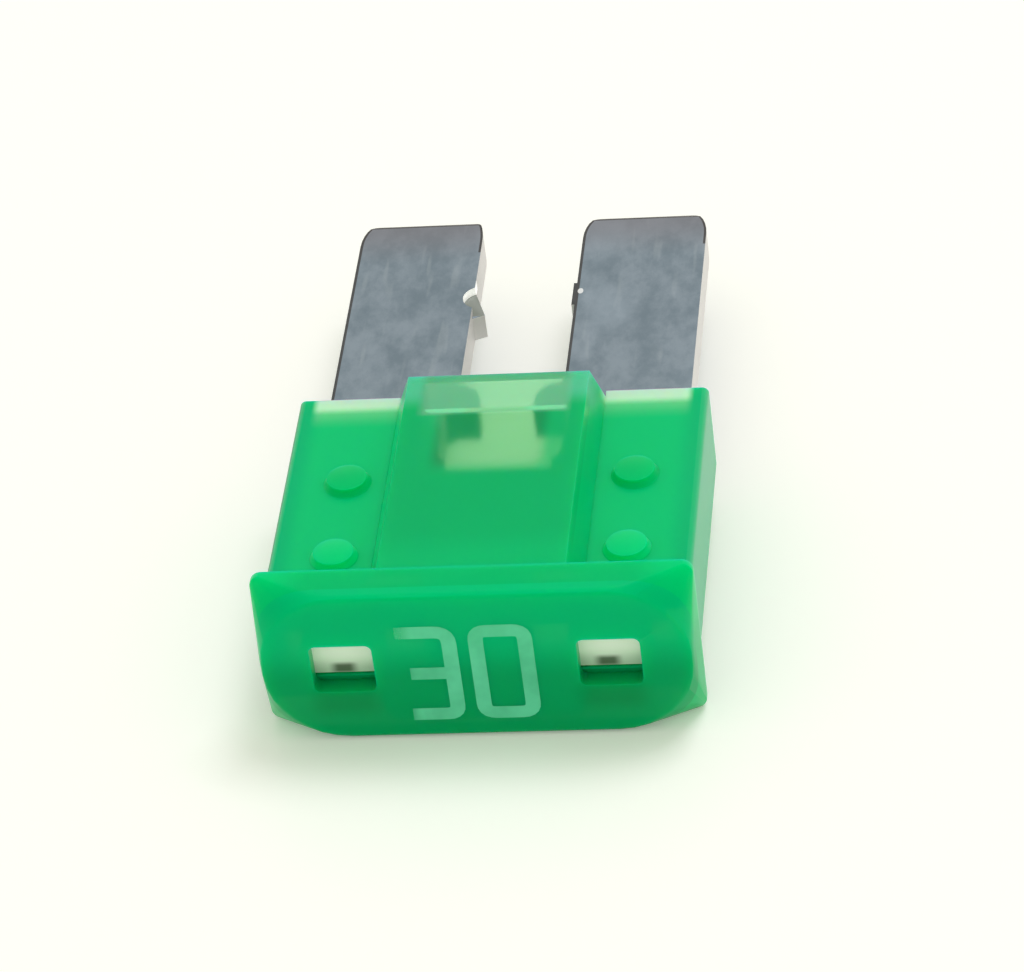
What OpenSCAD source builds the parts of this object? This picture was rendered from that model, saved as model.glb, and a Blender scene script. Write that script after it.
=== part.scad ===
// Sub-miniature automotive blade fuse, 30 A, lying flat.
// A stamped metal element is pushed into a one-piece translucent moulding and
// held there by stakes. X is the width, Y runs from the head's face to the
// blade tips and Z is the thickness. The origin is the middle of the footprint,
// on the surface that the fuse lies on. Lengths are in millimetres.

/* [Overall] */
// Length from the face of the head to the tips of the blades
fuse_l = 15.3; // [14.5:0.1:17]

/* [Head] */
// Width of the head
head_w = 9.1; // [9.0:0.05:10]
// Thickness of the head, the thickest place of the fuse
head_t = 3.8; // [3.7:0.05:4.6]
// Length of the head along the fuse
head_l = 0.9; // [0.75:0.05:1.2]
// Length of the rim at full size, next to the body
rim_l = 0.15; // [0.1:0.05:0.3]
// Corner radius of the rim, seen from the face
rim_corner_r = 0.25; // [0.15:0.05:0.6]
// Corner radius of the face, which is nearly a half circle at each end
face_corner_r = 1.7; // [0.8:0.05:1.75]
// How far the face stands in from the head's two ends
face_end_inset = 0.08; // [0.04:0.01:0.3]
// How far the face stands in from the head's front and back
face_edge_inset = 0.03; // [0.02:0.01:0.06]
// Radius of the edge round the face
face_edge_r = 0.14; // [0.1:0.02:0.2]

/* [Body] */
// Width of the body behind the head
body_w = 8.86; // [8.7:0.02:8.9]
// Length from the face of the head to the rear end of the side walls
body_l = 7.75; // [7.4:0.05:8.2]
// Thickness of the body over the blades
side_t = 2.2; // [2.0:0.05:2.6]
// Radius along the long edges of the body
side_edge_r = 0.15; // [0.05:0.05:0.3]
// Width of the flat top of the raised centre panel
panel_w = 3.9; // [3.6:0.1:4.4]
// How much wider the panel is at its foot, on each side
panel_draft = 0.28; // [0.05:0.01:0.4]
// Thickness through the two centre panels
panel_t = 3.6; // [3.4:0.05:3.7]
// How far the mouth of the centre stands back from the side walls
mouth_setback = 0.2; // [0:0.05:0.4]

/* [Link chamber] */
// Width of the chamber round the fusible link
chamber_w = 3.2; // [2.9:0.05:3.4]
// Wall between the chamber and the outside of the panel
chamber_wall = 0.55; // [0.4:0.05:0.8]
// Depth of the chamber from its mouth
chamber_l = 3.15; // [2.9:0.05:3.4]
// Thinner wall in the relief at the mouth of the chamber
relief_wall = 0.3; // [0.2:0.05:0.35]
// Depth of the relief from the mouth
relief_l = 0.75; // [0.3:0.05:1.2]
// Corner radius at the inner end of the relief
relief_r = 0.25; // [0.1:0.05:0.4]

/* [Test slots] */
// Distance from the middle of the fuse to the middle of each slot
slot_x = 2.75; // [2.6:0.05:2.9]
// Width of a test slot
slot_w = 1.3; // [1.0:0.05:1.5]
// Height of a test slot through the thickness
slot_t = 1.2; // [1.0:0.05:1.4]
// Corner radius of a test slot
slot_r = 0.15; // [0.1:0.05:0.4]
// How far the metal lies below the face in a slot
tab_recess = 0.4; // [0.2:0.05:0.5]

/* [Stakes] */
// Distance from the middle of the fuse to each row of stakes
stake_x = 3.05; // [2.9:0.05:3.1]
// Distance from the face to the stakes nearest the head
stake_y = 2.35; // [2.2:0.05:2.6]
// Spacing of the stakes along the fuse
stake_pitch = 2.65; // [2.4:0.05:3.0]
// Diameter of the flat top of a stake boss
boss_d = 0.95; // [0.7:0.05:1.1]
// Diameter of a stake boss at its foot
boss_foot_d = 1.35; // [1.15:0.05:1.5]
// Height of a stake boss over the wall
boss_h = 0.2; // [0.1:0.05:0.3]
// Diameter of the stake hole in the metal
hole_d = 0.9; // [0.7:0.05:1.1]
// How deep the plastic is pressed into a stake hole
plug_l = 0.25; // [0.1:0.05:0.3]
// Radial clearance between the pressed plastic and its hole
plug_gap = 0.08; // [0.04:0.01:0.12]

/* [Metal] */
// Thickness of the blades
blade_t = 0.8; // [0.6:0.05:0.85]
// Width of a blade
blade_w = 2.8; // [2.6:0.05:2.9]
// Distance between the middles of the blades
blade_pitch = 5.1; // [5.0:0.05:5.2]
// Clearance between the metal and its pocket
fit_gap = 0.05; // [0.03:0.01:0.08]
// Distance from the face to the end of the wide part of a leg
leg_y = 1.35; // [1.1:0.05:1.5]
// Width of the test tab behind a slot
tab_w = 1.6; // [1.55:0.05:1.7]
// Length of the taper at a blade tip
tip_l = 0.8; // [0.4:0.05:1.2]
// How far a blade narrows at its tip, on each edge
tip_in = 0.35; // [0.1:0.05:0.5]
// The same on the inner edge of the left blade, which was cropped closer
tip_in_small = 0.18; // [0.1:0.02:0.5]
// Length of the bevel through the thickness at a tip
tip_bevel_l = 0.12; // [0.05:0.01:0.6]
// How much the bevel takes off each face at the tip
tip_bevel_t = 0.05; // [0.02:0.01:0.2]

/* [Fusible link] */
// Gap between the two inner shoulders
shoulder_gap = 1.2; // [0.8:0.05:1.6]
// Distance from the face to the head-side edge of the shoulders
shoulder_y = 6.85; // [6.5:0.05:7.1]
// Distance from the face to the outer end of the shoulders
shoulder_end_y = 8.75; // [8.2:0.05:9.2]
// Width of the window between the shoulders and the link
window_w = 2.66; // [2.4:0.02:3.0]
// Distance from the face to the window's edge along the link
window_y = 5.95; // [5.8:0.05:6.2]
// Corner radius of the window
window_r = 0.35; // [0.1:0.05:0.4]
// Thickness of the link, thinned from the strip
link_t = 0.35; // [0.2:0.05:0.6]
// Width of the link along the fuse
link_w = 1.05; // [0.8:0.05:1.1]
// Radius of the notch that necks the link
neck_r = 0.4; // [0.2:0.05:0.45]
// Diameter of the hole in the neck
neck_hole_d = 0.24; // [0.1:0.02:0.3]

/* [Tie bar marks] */
// Distance from the face to the cut-off tie bar that joined the blades
tie_y = 12.35; // [11:0.05:13]
// Width of the tie bar
tie_w = 0.82; // [0.4:0.02:1.0]
// Radius of the punch that bit into the left blade
tie_bite_r = 0.42; // [0.3:0.02:0.6]
// How far the bite reaches into the blade
tie_bite = 0.24; // [0.1:0.02:0.3]
// Depth of the bite through the thickness
tie_bite_h = 0.2; // [0.1:0.05:0.4]
// How far the torn stub stands out of the left blade
tie_stub_left = 0.27; // [0.1:0.01:0.4]
// How far the cleaner stub stands out of the right blade
tie_stub_right = 0.07; // [0.02:0.01:0.15]

/* [Hidden] */
$fn = 48;
cut = 1; // overlap of a cutting solid past a face
slice = 0.02; // thickness of the slices that the head is drawn over
round_step = 45; // angle between the slices of the rounded edge
tip_step = 15; // angle between the points of a tip's rounding
blade_in = (blade_pitch - blade_w) / 2;
blade_out = (blade_pitch + blade_w) / 2;
shoulder_in = shoulder_gap / 2;
shoulder_r = blade_in - shoulder_in;
mouth_y = body_l - mouth_setback;
pocket_t = blade_t + 2 * fit_gap;
stake_ys = [stake_y, stake_y + stake_pitch];
bite_floor = blade_t / 2 - tie_bite_h;

// Moves a piece drawn from the face, on the middle plane, to the fuse's own origin
module place() {
    translate([0, -fuse_l / 2, head_t / 2]) children();
}

// Repeats a piece on the left and the right
module both_sides() {
    children();
    mirror([1, 0, 0]) children();
}

// Repeats a piece on the front and the back
module both_faces() {
    children();
    mirror([0, 0, 1]) children();
}

// Extrudes an outline drawn in width and thickness along the fuse, from y0 to y1
module along(y0, y1) {
    translate([0, y1, 0]) rotate([90, 0, 0]) linear_extrude(y1 - y0) children();
}

// Rectangle with round corners, about its middle
module rounded_rect(w, h, r) {
    square([w - 2 * r, h], center = true);
    square([w, h - 2 * r], center = true);
    for (x = [-1, 1], y = [-1, 1])
        translate([x * (w / 2 - r), y * (h / 2 - r)]) circle(r);
}

// The head: drawn over from a square-cornered rim to a face with round ends, whose
// edge is rounded by a quarter circle
module head() {
    hull() {
        for (a = [0 : round_step : 90]) {
            y = face_edge_r * (1 - cos(a));
            inset = face_edge_r * (1 - sin(a));
            along(y, y + slice)
                rounded_rect(head_w - 2 * (face_end_inset + inset), head_t - 2 * (face_edge_inset + inset),
                             face_corner_r - inset, $fn = 32);
        }
        along(head_l - rim_l, head_l) rounded_rect(head_w, head_t, rim_corner_r, $fn = 32);
    }
}

// The thin body over the blades
module side_walls() {
    along(head_l / 2, body_l) rounded_rect(body_w, side_t, side_edge_r);
}

// The raised centre panel, drafted on both sides, front and back
module centre_panel() {
    top = panel_w / 2;
    foot = top + panel_draft;
    along(head_l / 2, mouth_y)
        polygon([[-top, -panel_t / 2], [top, -panel_t / 2], [foot, -side_t / 2], [foot, side_t / 2],
                 [top, panel_t / 2], [-top, panel_t / 2], [-foot, side_t / 2], [-foot, -side_t / 2]]);
}

// The gap that the setback leaves between the side walls at the mouth
module mouth_cut() {
    foot = panel_w / 2 + panel_draft;
    translate([-foot, mouth_y, -side_t]) cube([2 * foot, mouth_setback + cut, 2 * side_t]);
}

// Room for the fusible link, with a thinner-walled relief at the mouth
module chamber() {
    deep = panel_t - 2 * chamber_wall;
    wide = panel_t - 2 * relief_wall;
    translate([-chamber_w / 2, mouth_y - chamber_l, -deep / 2])
        cube([chamber_w, chamber_l + mouth_setback + cut, deep]);
    translate([0, mouth_y - relief_l / 2 + cut / 2, -wide / 2])
        linear_extrude(wide) rounded_rect(chamber_w, relief_l + cut, relief_r);
}

// Pocket of one leg, its test tab and the slot that the probe reaches it through
module pocket() {
    translate([blade_in - fit_gap, leg_y - fit_gap, -pocket_t / 2])
        cube([blade_w + 2 * fit_gap, body_l - leg_y + fit_gap + cut, pocket_t]);
    translate([slot_x - tab_w / 2 - fit_gap, tab_recess - fit_gap, -pocket_t / 2])
        cube([tab_w + 2 * fit_gap, leg_y - tab_recess + fit_gap, pocket_t]);
    translate([slot_x, 0, 0]) along(-cut, tab_recess) rounded_rect(slot_w, slot_t, slot_r);
}

// Boss on the outside of the wall, over one stake
module boss(y) {
    translate([stake_x, y, side_t / 2]) cylinder(d1 = boss_foot_d, d2 = boss_d, h = boss_h);
}

// Plastic pressed into the metal's hole, rising from the pocket's wall
module plug(y) {
    translate([stake_x, y, blade_t / 2 - plug_l])
        cylinder(d = hole_d - 2 * plug_gap, h = plug_l + 2 * fit_gap);
}

module housing() {
    color("#00b060", 0.85) place() {
        difference() {
            union() {
                head();
                side_walls();
                centre_panel();
            }
            mouth_cut();
            chamber();
            both_sides() pocket();
        }
        both_faces() both_sides() for (y = stake_ys) {
            boss(y);
            plug(y);
        }
    }
}

// Points of a tip's corner: a quarter ellipse that leads the edge at x towards -x by narrowing
function tip_corner(x, narrowing) =
    [for (a = [0 : tip_step : 90]) [x - narrowing * (1 - cos(a)), fuse_l - tip_l * (1 - sin(a))]];

// The same points in the other order
function backwards(points) = [for (i = [len(points) - 1 : -1 : 0]) points[i]];

// Outline of one leg from the test tab to the blade tip
module leg_plan(inner_narrowing) {
    translate([slot_x - tab_w / 2, tab_recess]) square([tab_w, leg_y - tab_recess + fit_gap]);
    polygon(concat([[blade_in, leg_y], [blade_out, leg_y]], tip_corner(blade_out, tip_in),
                   backwards(tip_corner(blade_in, -inner_narrowing))));
}

// Outline of one inner shoulder, with its outer corner rounded into the blade
module shoulder_plan() {
    translate([shoulder_in, shoulder_y])
        square([shoulder_r + fit_gap, shoulder_end_y - shoulder_r - shoulder_y]);
    translate([blade_in, shoulder_end_y - shoulder_r]) circle(shoulder_r);
}

// Window between the shoulders and the link
module window_plan() {
    height = shoulder_y - window_y;
    translate([0, window_y + height / 2]) rounded_rect(window_w, height, window_r);
}

// The link between the legs, necked by a notch and a hole
module link_plan() {
    link_y = window_y - link_w;
    difference() {
        translate([-window_w / 2 - fit_gap, link_y]) square([window_w + 2 * fit_gap, link_w]);
        translate([0, link_y]) circle(neck_r);
        translate([0, (link_y + neck_r + window_y) / 2]) circle(d = neck_hole_d);
    }
}

// Side view of the strip, bevelled at the blade tips
module strip_profile() {
    half = blade_t / 2;
    polygon([[0, -half], [fuse_l - tip_bevel_l, -half], [fuse_l, tip_bevel_t - half],
             [fuse_l, half - tip_bevel_t], [fuse_l - tip_bevel_l, half], [0, half]]);
}

// Both legs at full thickness, with stake holes and bevelled tips
module legs() {
    intersection() {
        translate([0, 0, -blade_t]) linear_extrude(2 * blade_t) difference() {
            union() {
                leg_plan(tip_in);
                mirror([1, 0]) leg_plan(tip_in_small);
                both_sides() shoulder_plan();
            }
            window_plan();
            both_sides() for (y = stake_ys) translate([stake_x, y]) circle(d = hole_d);
        }
        rotate([90, 0, 90]) translate([0, 0, -head_w]) linear_extrude(2 * head_w) strip_profile();
    }
}

// The step that the cropping punch pressed into the left blade
module tie_bite_cut() {
    translate([tie_bite_r - blade_in - tie_bite, tie_y, bite_floor]) cylinder(r = tie_bite_r, h = blade_t);
}

// Stubs of the tie bar: torn and slanted on the left blade, flat on the right one
module tie_stubs() {
    torn_in = -blade_in - tie_bite / 2;
    translate([0, tie_y, -blade_t / 2]) {
        linear_extrude(bite_floor + blade_t / 2)
            polygon([[torn_in, -tie_w / 2], [torn_in, tie_w / 4], [-blade_in, tie_w / 2],
                     [tie_stub_left - blade_in, -tie_w / 2], [-blade_in, -tie_w / 2 - tie_bite / 2]]);
        translate([blade_in - tie_stub_right, -tie_w / 2, 0])
            cube([2 * tie_stub_right, tie_w, blade_t]);
    }
}

module fuse_element() {
    color("#8f9aa5") place() {
        difference() {
            legs();
            tie_bite_cut();
        }
        tie_stubs();
        translate([0, 0, -link_t / 2]) linear_extrude(link_t) link_plan();
    }
}

housing();
fuse_element();
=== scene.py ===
"""A sub-miniature automotive blade fuse, lying flat with its head towards the camera.

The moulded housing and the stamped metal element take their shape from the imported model, with a few fine
forms redrawn. What is made here is the finish of both, the printed rating, and the table and light round
them. Lengths are in metres, except where a name or comment says millimetres.
"""

from math import cos, radians, sin

import bmesh
import bpy
import numpy as np
from mathutils import Matrix, Vector


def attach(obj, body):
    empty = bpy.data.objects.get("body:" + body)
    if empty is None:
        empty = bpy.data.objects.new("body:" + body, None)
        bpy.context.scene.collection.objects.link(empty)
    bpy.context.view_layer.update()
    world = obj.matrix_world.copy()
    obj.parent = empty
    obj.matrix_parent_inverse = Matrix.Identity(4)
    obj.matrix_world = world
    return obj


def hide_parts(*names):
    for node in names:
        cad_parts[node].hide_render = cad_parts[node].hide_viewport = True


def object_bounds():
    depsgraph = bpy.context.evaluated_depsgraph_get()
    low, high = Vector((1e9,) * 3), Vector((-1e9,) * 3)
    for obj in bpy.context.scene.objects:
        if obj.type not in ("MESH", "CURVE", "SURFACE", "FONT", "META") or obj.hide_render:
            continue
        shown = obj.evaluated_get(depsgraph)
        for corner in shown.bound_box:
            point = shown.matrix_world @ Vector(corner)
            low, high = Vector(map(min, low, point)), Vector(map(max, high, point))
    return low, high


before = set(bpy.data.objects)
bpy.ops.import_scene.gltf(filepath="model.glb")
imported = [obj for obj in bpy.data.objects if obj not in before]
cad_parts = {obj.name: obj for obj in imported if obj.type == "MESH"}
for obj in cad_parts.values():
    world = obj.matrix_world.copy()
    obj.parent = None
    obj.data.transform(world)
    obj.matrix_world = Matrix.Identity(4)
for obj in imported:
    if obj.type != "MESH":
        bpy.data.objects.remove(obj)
cad_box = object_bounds()
MM = 0.001


# ---------------------------------------------------------------------------------------------
# The view. A hand-held close shot from just above the head's end, turned a little to the right
# of the fuse and rolled, so that the head's lower edge runs up to the right.
view_aim, view_distance = Vector((0.230, -1.706, 1.9)) * MM, 103.9 * MM
view_turn, view_rise, view_roll = radians(9.69), radians(37.32), radians(7.77)
focal_pixels, picture_width, sensor_width = 4876, 1024, 36
view_back = Vector((sin(view_turn) * cos(view_rise), -cos(view_turn) * cos(view_rise), sin(view_rise)))
level = view_back.cross(Vector((0, 0, 1))).normalized() * -1
down = level.cross(view_back)
right = cos(view_roll) * level + sin(view_roll) * down
up = sin(view_roll) * level - cos(view_roll) * down
camera_data = bpy.data.cameras.new("photo_view")
camera_data.sensor_width = sensor_width
camera_data.lens = sensor_width * focal_pixels / picture_width
camera_data.clip_start = 0.005
camera_data.clip_end = 20
camera = bpy.data.objects.new("photo_view", camera_data)
camera.matrix_world = (Matrix.Translation(view_aim + view_back * view_distance)
                       @ Matrix((right, up, view_back)).transposed().to_4x4())
bpy.context.scene.collection.objects.link(camera)
bpy.context.scene.camera = camera


# ---------------------------------------------------------------------------------------------
# The housing. One injection moulding in translucent green polyamide, clear enough in its thin
# walls to show the metal, and milky where it is thick. Its edges are broken by the mould.
housing_edge = 0.07 * MM

# Places and sizes of its fine forms, in millimetres, from the head's face and the middle plane
half_length, half_thickness = 7.65, 1.9
from_face = np.array([0, half_length, -half_thickness])
stake_out, stake_reach = 3.05, 0.72
stakes_packed, stakes_drawn = (2.35, 5.0), (2.3, 4.8)
boss_foot_share, boss_top_share, boss_lowered = 0.76, 0.895, 0.04
relief_longer, relief_height = 0.25, 1.38


class Wire:
    """One socket of a material's nodes. Arithmetic on it adds the Math nodes that work it out."""

    def __init__(self, finish, socket):
        self.finish, self.socket = finish, socket

    def maths(self, operation, *values):
        return self.finish.node("ShaderNodeMath", {"operation": operation}, dict(enumerate(values)))

    def __add__(self, other): return self.maths("ADD", self, other)
    def __radd__(self, other): return self.maths("ADD", other, self)
    def __sub__(self, other): return self.maths("SUBTRACT", self, other)
    def __rsub__(self, other): return self.maths("SUBTRACT", other, self)
    def __mul__(self, other): return self.maths("MULTIPLY", self, other)
    def __rmul__(self, other): return self.maths("MULTIPLY", other, self)
    def __truediv__(self, other): return self.maths("DIVIDE", self, other)
    def __pow__(self, other): return self.maths("POWER", self, other)
    def __abs__(self): return self.maths("ABSOLUTE", self)
    def __gt__(self, other): return self.maths("GREATER_THAN", self, other)
    def __lt__(self, other): return self.maths("LESS_THAN", self, other)
    def at_least(self, other): return self.maths("MAXIMUM", self, other)


class Finish:
    """A node material under construction."""

    def __init__(self, name):
        self.material = bpy.data.materials.new(name)
        self.material.use_nodes = True
        self.tree = self.material.node_tree
        self.tree.nodes.clear()
        self.end = self.tree.nodes.new("ShaderNodeOutputMaterial")

    def node(self, kind, settings=None, inputs=None, output=0):
        """Adds a node of that kind, sets its settings, then fills its sockets, and gives back one output."""
        made = self.tree.nodes.new(kind)
        for key, value in (settings or {}).items():
            setattr(made, key, value)
        for key, value in (inputs or {}).items():
            if isinstance(value, Wire):
                self.tree.links.new(value.socket, made.inputs[key])
            else:
                made.inputs[key].default_value = value
        return Wire(self, made.outputs[output])

    def noise(self, scale, detail=3.0, roughness=0.5, squeeze=(1, 1, 1), distortion=0.0):
        """Fractal noise from 0 to 1 that repeats about every 1/scale metres, and less often along an axis
        whose squeeze is under 1."""
        where = self.node("ShaderNodeTexCoord", output="Object")
        where = self.node("ShaderNodeMapping", None, {"Vector": where, "Scale": squeeze})
        return self.node("ShaderNodeTexNoise", None,
                         {"Vector": where, "Scale": scale, "Detail": detail,
                          "Roughness": roughness, "Distortion": distortion})

    def between(self, wire, low, high, out_low=0.0, out_high=1.0):
        """Maps low..high to out_low..out_high, smoothly and held at both ends."""
        return self.node("ShaderNodeMapRange", {"interpolation_type": "SMOOTHSTEP"},
                         {"Value": wire, "From Min": low, "From Max": high,
                          "To Min": out_low, "To Max": out_high})

    def blend(self, share, first, second):
        """Colour that goes from the first to the second with share."""
        return self.node("ShaderNodeMix", {"data_type": "RGBA"}, {0: share, 6: first, 7: second}, output=2)

    def mix(self, share, first, second):
        """Number that goes from the first to the second with share."""
        return self.node("ShaderNodeMix", None, {0: share, 2: first, 3: second})

    def fuse_mm(self):
        """Width, length from the head's face and height from the middle plane, in millimetres."""
        where = self.node("ShaderNodeTexCoord", output="Object")
        parts = [self.node("ShaderNodeSeparateXYZ", None, {0: where}, output=i) * (1 / MM) for i in range(3)]
        return parts[0], parts[1] + half_length, parts[2] - half_thickness

    def surface(self, wire):
        self.tree.links.new(wire.socket, self.end.inputs["Surface"])

    def volume(self, wire):
        self.tree.links.new(wire.socket, self.end.inputs["Volume"])


def skin_of(node, name, edge, trim, is_soft=None, softer=3.5, sharp=28):
    """A piece with the surface of a solid, its places in millimetres passed through trim: doubles merged,
    flat faces joined, sharp edges rounded off, and the edges whose two ends are soft places rounded off
    that much more."""
    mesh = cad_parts[node].data.copy()
    mesh.name = name
    places = np.empty(3 * len(mesh.vertices), np.float32)
    mesh.vertices.foreach_get("co", places)
    places = places.reshape(-1, 3) / MM + from_face
    mesh.vertices.foreach_set("co", ((trim(*places.T) - from_face) * MM).astype(np.float32).ravel())
    surface = bmesh.new()
    surface.from_mesh(mesh)
    bmesh.ops.remove_doubles(surface, verts=surface.verts, dist=0.0005 * MM)
    bmesh.ops.dissolve_limit(surface, angle_limit=radians(0.4), verts=surface.verts, edges=surface.edges)
    weight = surface.edges.layers.float.new("bevel_weight_edge")
    for line in surface.edges:
        if line.calc_face_angle(0) > radians(sharp):
            soft = is_soft and all(is_soft(end.co / MM) for end in line.verts)
            line[weight] = 1 if soft else 1 / softer
    for face in surface.faces:
        face.smooth = True
    surface.to_mesh(mesh)
    surface.free()
    piece = bpy.data.objects.new(name, mesh)
    bpy.context.scene.collection.objects.link(piece)
    round_off = piece.modifiers.new("broken_edges", "BEVEL")
    round_off.width, round_off.segments, round_off.limit_method = edge * softer, 2, "WEIGHT"
    round_off.face_strength_mode = "FSTR_ALL"
    flat = piece.modifiers.new("flat_faces", "WEIGHTED_NORMAL")
    flat.use_face_influence = True
    return piece


def with_stakes(x, y):
    """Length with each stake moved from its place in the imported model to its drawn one, with all that
    lies within stake_reach of its centre, and which places those are."""
    near = [np.hypot(np.abs(x) - stake_out, y - packed) < stake_reach for packed in stakes_packed]
    moves = [(drawn - packed) * hit for packed, drawn, hit in zip(stakes_packed, stakes_drawn, near)]
    return y + sum(moves), near[0] | near[1]


def trimmed_housing(x, y, z):
    """The moulding with its fine forms as on the real one. A boss goes to centre + (place - centre) x share,
    with one share at its foot and one at its top, and its top is lowered. The chamber's relief starts
    nearer to the head, and the wall over it is 0.42 mm thick."""
    y, stake = with_stakes(x, y)
    out, height = np.abs(x), np.abs(z)
    foot, top = stake & (height > 1.05), stake & (height > 1.25)
    share = np.where(top, boss_top_share, np.where(foot, boss_foot_share, 1.0))
    centre = np.where(y < 3.6, *stakes_drawn)
    x = np.where(foot, np.sign(x) * (stake_out + (out - stake_out) * share), x)
    y = np.where(foot, centre + (y - centre) * share, y)
    relief = (np.abs(x) < 1.61) & (height > 1.2) & (height < 1.55) & (y > 6.75)
    y = y - relief_longer * (relief & (y < 7.1))
    height = np.where(relief & (height > 1.45), relief_height, height - boss_lowered * top)
    return np.stack([x, y, np.sign(z) * height], 1)


def is_panel_edge(place):
    """True on the long edges of the raised panel's flat top, front and back."""
    return 1.9 < abs(place.x) < 2.0 and abs(place.z - half_thickness) > 1.75


housing = skin_of("housing", "housing_moulding", housing_edge, trimmed_housing, is_panel_edge)

plastic = Finish("green_polyamide")
x, y, z = plastic.fuse_mm()
flow = plastic.noise(700, 2.0, 0.5, (1, 0.45, 1))
skin_bump = plastic.node("ShaderNodeBump", None,
                         {"Strength": 0.1, "Distance": 0.02 * MM, "Height": flow})
clear = plastic.node("ShaderNodeBsdfPrincipled", None,
                     {"Base Color": (0.92, 0.94, 0.90, 1), "Roughness": 0.12, "IOR": 1.53,
                      "Specular IOR Level": 0.3, "Specular Tint": (0.05, 0.5, 0.3, 1),
                      "Transmission Weight": 1.0, "Normal": skin_bump})

# The broad faces: a little mottled, deeper over the panel, lighter over the side plates, and deeper
# again along their outer margins. The two front bosses get painted light, lighter than the plates, the rear
# ones painted shade.
side = abs(x)
plate = plastic.between(side, 2.05, 2.25) * (y > 0.9)
green = plastic.blend(plastic.noise(260, 3.0), (0.0, 0.60, 0.19, 1), (0.0, 0.67, 0.22, 1))
panel = plastic.between(y, 1.1, 2.4) * (side < 2.02)
green = plastic.blend(panel * 0.33, green, (0.0, 0.40, 0.12, 1))
green = plastic.blend(plate, green, (0.0, 0.70, 0.235, 1))
margin = plastic.between(side, 3.75, 4.4) * plastic.between(y, 0.9, 1.6)
green = plastic.blend(margin * 0.8, green, (0.0, 0.50, 0.22, 1))
# Painted light on the front bosses and painted shade on the rear ones, over their flanks and tops.
boss = (z > 1.12) * (z < 1.355) * (side > 2.4) * (y > 1.5)
green = plastic.blend(boss, green, (0.0, 0.80, 0.27, 1))
green = plastic.blend(boss * (y > 3.6), green, (0.0, 0.66, 0.20, 1))
# Painted light: the panel's left flank, which faces away from the lamp, is made lighter.
painted_panel_flank_light = (side > 2.0) * (side < 2.3) * (z > 1.12) * (x < 0) * (y > 1.6)
green = plastic.blend(painted_panel_flank_light, green, (0.0, 0.78, 0.28, 1))

# The head: painted light in its upper corners, and a face of a lighter green as painted light, with painted
# shade that deepens downwards and a painted shadow of the metal under the slots. The slots' floors get their
# own painted shade.
corner = plastic.between(side, 3.2, 4.2) * plastic.between(z, 0.2, 0.9) * (y > 0.2) * (y < 1.2)
green = plastic.blend(corner * 0.45, green, (0.0, 0.86, 0.30, 1))
on_face = y < 0.3
green = plastic.blend(on_face, green, (0.0, 0.68, 0.26, 1))
green = plastic.blend(plastic.between(z, 0.7, -0.4) * on_face * 0.7, green, (0.0, 0.41, 0.12, 1))
painted_slot_shadow = plastic.between(abs(side - 2.75), 0.4, 0.95, 1.0, 0.0)
painted_slot_shadow = painted_slot_shadow * plastic.between(abs(z + 0.85), 0.1, 0.55, 1.0, 0.0)
green = plastic.blend(painted_slot_shadow * on_face * 0.5, green, (0.0, 0.30, 0.08, 1))
slot_floor = (abs(z) > 0.5) * (abs(z) < 0.66) * (side > 2.0) * (side < 3.5) * (y > 0.03) * (y < 0.5)
green = plastic.blend(slot_floor, green, (0.0, 0.46, 0.14, 1))

# The side plates' thin rear ends get painted light, pale and fully milky, and the left plate's long edge is
# a thin dark line of painted shade.
rear = plastic.between(side, 2.1, 2.3) * plastic.between(side, 3.95, 4.15, 1.0, 0.0)
green = plastic.blend(rear * plastic.between(y, 6.7, 7.45) * 0.35, green, (0.5, 1.0, 0.55, 1))
painted_rim_light = plastic.between(y, 7.2, 7.5) * rear
green = plastic.blend(painted_rim_light, green, (0.58, 1.0, 0.63, 1))
painted_edge_shade = (x < -4.37) * (y > 1.6) * (z > 0.9)
green = plastic.blend(painted_edge_shade * 0.5, green, (0.0, 0.20, 0.09, 1))

# The wall over the link chamber is clearer, and greyer towards the mouth, and the step where its
# relief starts glows with a painted highlight.
over_chamber = plastic.between(y, 3.95, 4.75) * plastic.between(side, 0.95, 1.4, 1.0, 0.0)
over_relief = plastic.between(y, 6.1, 6.25) * plastic.between(side, 1.45, 1.7, 1.0, 0.0)
mouth = plastic.between(y, 6.3, 7.0) * plastic.between(side, 1.95, 2.2, 1.0, 0.0)
green = plastic.blend(mouth * 0.9, green, (0.12, 0.68, 0.40, 1))
green = plastic.blend(over_relief, green, (0.16, 0.70, 0.36, 1))
step = (y > 6.4) * (y < 6.62) * (side < 1.7) * (abs(z) > 1.26) * (abs(z) < 1.42)
painted_step_glow = plastic.blend(plastic.between(side, 0.55, 0.75), (0.62, 0.66, 0.50, 1), (0.50, 0.95, 0.80, 1))
milky = plastic.node("ShaderNodeBsdfPrincipled", None,
                     {"Base Color": green, "Roughness": 0.3, "IOR": 1.53, "Specular IOR Level": 0.13,
                      "Specular Tint": (0.05, 0.5, 0.3, 1), "Emission Strength": 1.0,
                      "Emission Color": plastic.blend(step * (z > 0), (0, 0, 0, 1), painted_step_glow),
                      "Subsurface Weight": 1.0, "Subsurface Radius": (0.1, 1.0, 0.55),
                      "Subsurface Scale": 0.6 * MM, "Normal": skin_bump})

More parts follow.
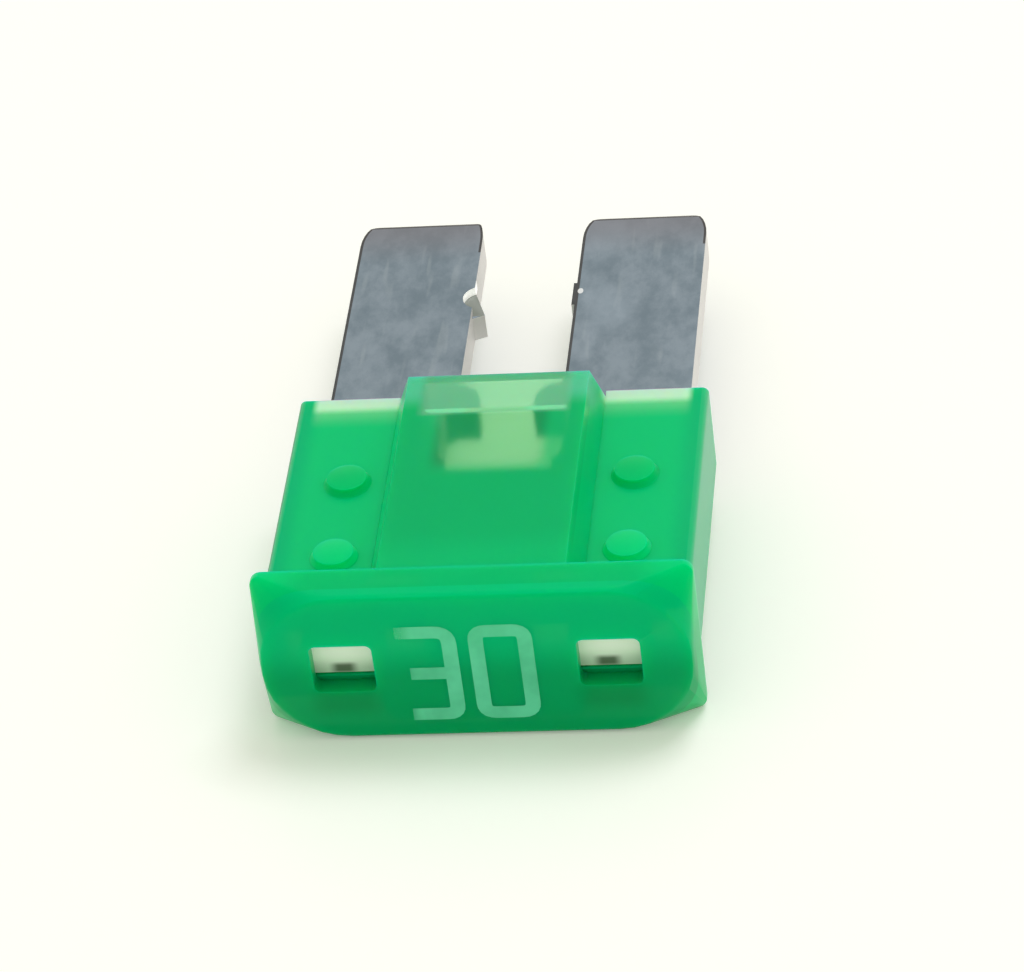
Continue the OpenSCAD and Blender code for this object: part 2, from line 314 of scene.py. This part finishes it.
# Only the outside is milky: the walls of the chamber and of the blades' pockets are clear.
outside = 1 - (side < 1.62) * (y > 4.3) * (abs(z) < 1.56)
outside = outside * (1 - (abs(z) < 0.5) * (side < 4.05) * (y > 1.3))
cloudy = plastic.between(over_chamber, 0, 1, 0.85, 0.55) * outside
cloudy = plastic.mix(over_relief * outside, cloudy, 0.62)
cloudy = plastic.mix(painted_rim_light, cloudy, 1.0)
cloudy = plastic.mix(step, cloudy, 0.9)
plastic.surface(plastic.node("ShaderNodeMixShader", None, {0: cloudy, 1: clear, 2: milky}))
plastic.volume(plastic.node("ShaderNodeVolumeAbsorption", None,
                            {"Color": (0.25, 0.85, 0.1, 1), "Density": 1100.0}))
housing.data.materials.clear()
housing.data.materials.append(plastic.material)
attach(housing, "root")
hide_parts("housing")


# ---------------------------------------------------------------------------------------------
# The fuse element. One stamping of tin-plated zinc strip: dull blue-grey faces with handling
# scratches along the blades, and brighter cut edges where the die sheared it.
element_edge = 0.09 * MM
window_longer = 0.9
blade_outside, blade_pitch, blade_width = 3.95, 5.1, 2.8
tip_start, tip_length, tip_narrowing, cropped_share = 14.5, 0.8, 0.35, 0.49
tie_middle = 12.45


def trimmed_element(x, y, z):
    """The stamping with its stakes moved, and the window in front of the shoulders made longer, so that
    each shoulder is a bar 1 mm long."""
    y, _ = with_stakes(x, y)
    window = (np.abs(x) < 1.36) & (y > 6.45) & (y < 6.9)
    return np.stack([x, y + window_longer * window, z], 1)


element = skin_of("fuse_element", "stamped_element", element_edge, trimmed_element)

tin = Finish("tin_plate")
across, along, height = tin.fuse_mm()

# The rolled faces: mottled and clouded, scratched along the blades, and browner at the tips.
mottle = tin.noise(1500, 5.0, 0.7, (1, 0.6, 1))
cloud = tin.noise(330, 3.0, 0.6, (1, 0.45, 1), 0.6)
scratch = tin.between(tin.noise(4200, 1.0, 0.5, (1, 0.12, 1)), 0.63, 0.76)
shade = tin.blend(tin.between(mottle, 0.3, 0.7), (0.185, 0.24, 0.29, 1), (0.285, 0.34, 0.395, 1))
shade = tin.blend(tin.between(cloud, 0.5, 0.66, 0.0, 0.4), shade, (0.41, 0.48, 0.56, 1))
shade = tin.blend(scratch * 0.13, shade, (0.6, 0.64, 0.66, 1))
tip = tin.between(along, 13.6, 15.2)
shade = tin.blend(tip * 0.6, shade, (0.24, 0.215, 0.235, 1))

# The sheared edges, and the punch's bite at the left blade's tie bar stub, whose far wall is a fresh cut
# given a painted highlight: white and glowing.
tilt = [tin.node("ShaderNodeSeparateXYZ", None, {0: tin.node("ShaderNodeNewGeometry", output="Normal")},
                 output=i) for i in range(3)]
sheared = abs(tilt[2]) < 0.3
shade = tin.blend(sheared, shade, (0.80, 0.77, 0.77, 1))
bitten = (abs(along - tie_middle) < 0.55) * (across > -1.85) * (across < -0.9)
shade = tin.blend(bitten * (tilt[2] > 0.3) * (height < 0.3), shade, (0.24, 0.26, 0.23, 1))
painted_cut_highlight = bitten * (along > 12.35) * sheared * (height > 0.16)
shade = tin.blend(painted_cut_highlight, shade, (1, 1, 1, 1))
# Painted shade: the shoulders' sheared faces inside the link chamber, turned to the head, are near black.
painted_chamber_shade = (along > 5.0) * (along < 7.9) * (abs(across) < 1.4) * (tilt[1] < -0.5)
shade = tin.blend(painted_chamber_shade * sheared, shade, (0.01, 0.10, 0.06, 1))

# A painted dark reflection: a dark line on the top face along each blade's left edge, round its tip and down
# to where its right edge starts to narrow. A blade narrows by a quarter ellipse at each side of its tip.
reach = ((along - tip_start) / tip_length).at_least(0.0)
taper = (1 - (1 - reach * reach) ** 0.5) * tip_narrowing
from_left = across + blade_outside - (across > 0) * blade_pitch - taper
from_right = blade_width - 2 * taper - from_left + (across < 0) * taper * cropped_share
painted_edge_reflection = (from_left < 0.065).at_least((from_right < 0.055) * (along > 14.1)).at_least(along > 15.17)
painted_edge_reflection = painted_edge_reflection * (tilt[2] > 0.3) * (along > 8.0) * (abs(across) > 1.2).at_least(along > 8.8)
shade = tin.blend(painted_edge_reflection * 0.85, shade, (0.05, 0.04, 0.035, 1))
glint = (across - 1.25) * (across - 1.25) + (along - tie_middle) * (along - tie_middle) * 0.4 < 0.004
shade = tin.blend(glint * 0.8, shade, (1, 1, 1, 1))

# The test tabs behind the slots: painted light, pale and green, with painted shade towards their bottom, a
# painted shadow of the gap under their middle, and a faint painted glow on their upper part so as to show in
# there.
tab = along < 1.6
shade = tin.blend(tab, shade, (0.84, 1.0, 0.83, 1))
painted_gap_shadow = tin.between(abs(abs(across + 0.07) - 2.73), 0.1, 0.35, 1.0, 0.0)
painted_gap_shadow = painted_gap_shadow * tin.between(abs(height + 0.28), 0.05, 0.18, 1.0, 0.0)
shade = tin.blend(tin.between(height, 0.15, -0.4) * tab * 0.4, shade, (0.25, 0.45, 0.25, 1))
shade = tin.blend(painted_gap_shadow * tab, shade, (0.10, 0.16, 0.09, 1))
relief = tin.node("ShaderNodeBump", None,
                  {"Strength": 0.2, "Distance": 0.01 * MM, "Height": mottle + scratch * 0.4})
painted_tab_glow = tin.blend(tin.between(height, -0.3, 0.1) * tab, (0, 0, 0, 1), (0.11, 0.12, 0.09, 1))
tin.surface(tin.node("ShaderNodeBsdfPrincipled", None,
                     {"Base Color": shade, "Metallic": 0.5 * (along > 7.7), "Emission Strength": 1.0,
                      "Emission Color": tin.blend(painted_cut_highlight, painted_tab_glow, (0.35, 0.35, 0.33, 1)),
                      "Roughness": tin.between(mottle, 0.2, 0.8, 0.42, 0.55), "Normal": relief}))
element.data.materials.clear()
element.data.materials.append(tin.material)
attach(element, "root")
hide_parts("fuse_element")


# ---------------------------------------------------------------------------------------------
# The rating. The two figures of the current in amperes, pad printed in thin white ink on the
# head's face, in square-shouldered strokes. The ink is thin, so the green shows through it.
print_stroke = 0.31 * MM
print_top, print_foot = 2.97 * MM, 0.50 * MM
print_lift = 0.004 * MM
three_left, three_right = -1.58 * MM, -0.33 * MM
zero_left, zero_right = -0.09 * MM, 1.23 * MM
foot_inset, waist_inset = 0.15 * MM, 0.22 * MM
three_shoulder, three_heel, zero_corner = 0.3 * MM, 0.22 * MM, 0.24 * MM


def rounded_path(corners, radius, closed=False, steps=6):
    """Points along straight runs between corners, with each corner c rounded from the point a, radius before
    it, to the point b, radius after it: (1-t)^2 a + 2t(1-t) c + t^2 b, as t goes from 0 to 1."""
    corners = np.array(corners, float)
    count = len(corners)
    t = np.linspace(0, 1, steps)[:, None]
    runs = []
    for i, (corner, r) in enumerate(zip(corners, radius)):
        if not closed and i in (0, count - 1):
            runs.append(corner[None])
            continue
        back, ahead = corners[i - 1] - corner, corners[(i + 1) % count] - corner
        a = corner + back / np.linalg.norm(back) * r
        b = corner + ahead / np.linalg.norm(ahead) * r
        runs.append((1 - t) ** 2 * a + 2 * t * (1 - t) * corner + t ** 2 * b)
    return np.concatenate(runs)


def ribbon(path, width, closed=False):
    """A flat band of that width along a path on the head's face: points p +/- n width/2, where n is
    the mitred normal of the path, stretched by 1/cos of half the turn."""
    if closed:
        before, after = path - np.roll(path, 1, 0), np.roll(path, -1, 0) - path
    else:
        step = np.diff(path, axis=0)
        before, after = np.vstack([step[:1], step]), np.vstack([step, step[-1:]])
    before /= np.linalg.norm(before, axis=1)[:, None]
    after /= np.linalg.norm(after, axis=1)[:, None]
    along = before + after
    along /= np.linalg.norm(along, axis=1)[:, None]
    normal = np.stack([-along[:, 1], along[:, 0]], 1)
    stretch = 1 / (along * after).sum(1)[:, None]
    return path + normal * stretch * width / 2, path - normal * stretch * width / 2


def band(points, faces, path, width, closed=False):
    """Adds a ribbon's points and quads, facing away from the head."""
    left, other = ribbon(path, width, closed)
    first = sum(len(p) for p in points)
    count = len(path)
    for side in (left, other):
        points.append(np.stack([side[:, 0], np.full(count, cad_box[0][1] - print_lift), side[:, 1]], 1))
    i = np.arange(count if closed else count - 1)
    j = (i + 1) % count
    faces.append(np.stack([first + i, first + j, first + count + j, first + count + i], 1))


points, faces = [], []
half = print_stroke / 2
high, low = print_top - half, print_foot + half
back, waist = three_right - half, (print_top + print_foot) / 2
band(points, faces,
     rounded_path([(three_left, high), (back, high), (back, low), (three_left + foot_inset, low)],
                  (0, three_shoulder, three_heel, 0)), print_stroke)
band(points, faces, np.array([(three_left + waist_inset, waist), (back - half, waist)]), print_stroke)
west, east = zero_left + half, zero_right - half
band(points, faces,
     rounded_path([(west, high), (east, high), (east, low), (west, low)], (zero_corner,) * 4, closed=True),
     print_stroke, closed=True)
mesh = bpy.data.meshes.new("rating_print")
mesh.from_pydata(np.concatenate(points).tolist(), [], np.concatenate(faces).tolist())
mesh.update()
rating = bpy.data.objects.new("rating_print", mesh)
bpy.context.scene.collection.objects.link(rating)

ink = Finish("white_ink")
cover = ink.between(ink.noise(900, 3.0, 0.6), 0.2, 0.75, 0.5, 0.75)
cover = cover * ink.between(ink.fuse_mm()[0], -1.6, -1.2, 0.35, 1.0)
ink.surface(ink.node("ShaderNodeBsdfPrincipled", None,
                     {"Base Color": (0.17, 0.97, 0.57, 1), "Roughness": 0.5, "Alpha": cover}))
rating.data.materials.append(ink.material)
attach(rating, "root")


# ---------------------------------------------------------------------------------------------
# The table and the light. A white table top with a soft sheen, under a pale overcast room light
# and one soft lamp high behind the fuse on its right. The table glows a little where it is seen.
table_drop, table_glow = 0.002 * MM, 0.16
room_colour, room_strength = (0.98, 1.0, 0.89, 1), 0.66
lamp_place, lamp_size, lamp_power, lamp_colour = Vector((0.10, 0.12, 0.38)), 0.16, 0.53, (1.0, 0.96, 1.08)
floor_mesh = bpy.data.meshes.new("table")
floor_mesh.from_pydata([(-1, -1, 0), (1, -1, 0), (1, 1, 0), (-1, 1, 0)], [], [(0, 1, 2, 3)])
floor = bpy.data.objects.new("table", floor_mesh)
floor.location.z = -table_drop
bpy.context.scene.collection.objects.link(floor)
top = Finish("white_table")
rays = top.tree.nodes.new("ShaderNodeLightPath")
seen = Wire(top, rays.outputs["Is Camera Ray"]) + Wire(top, rays.outputs["Is Glossy Ray"])
seen = seen + Wire(top, rays.outputs["Is Transmission Ray"])
matt = top.node("ShaderNodeBsdfPrincipled", None,
                {"Base Color": (0.97, 0.97, 0.91, 1), "Roughness": 0.35, "Specular IOR Level": 0.3,
                 "Emission Color": (1, 1, 0.95, 1), "Emission Strength": seen * table_glow})
top.surface(matt)
floor.data.materials.append(top.material)

world = bpy.data.worlds.new("room")
world.use_nodes = True
room_light = world.node_tree.nodes["Background"].inputs
room_light["Color"].default_value = room_colour
room_light["Strength"].default_value = room_strength
bpy.context.scene.world = world

lamp_data = bpy.data.lights.new("window", "AREA")
lamp_data.shape, lamp_data.size = "SQUARE", lamp_size
lamp_data.energy, lamp_data.color = lamp_power, lamp_colour
lamp = bpy.data.objects.new("window", lamp_data)
lamp.location = lamp_place
lamp.rotation_euler = (-lamp_place).to_track_quat("-Z", "Y").to_euler()
bpy.context.scene.collection.objects.link(lamp)

bpy.context.scene.view_settings.view_transform = "Standard"
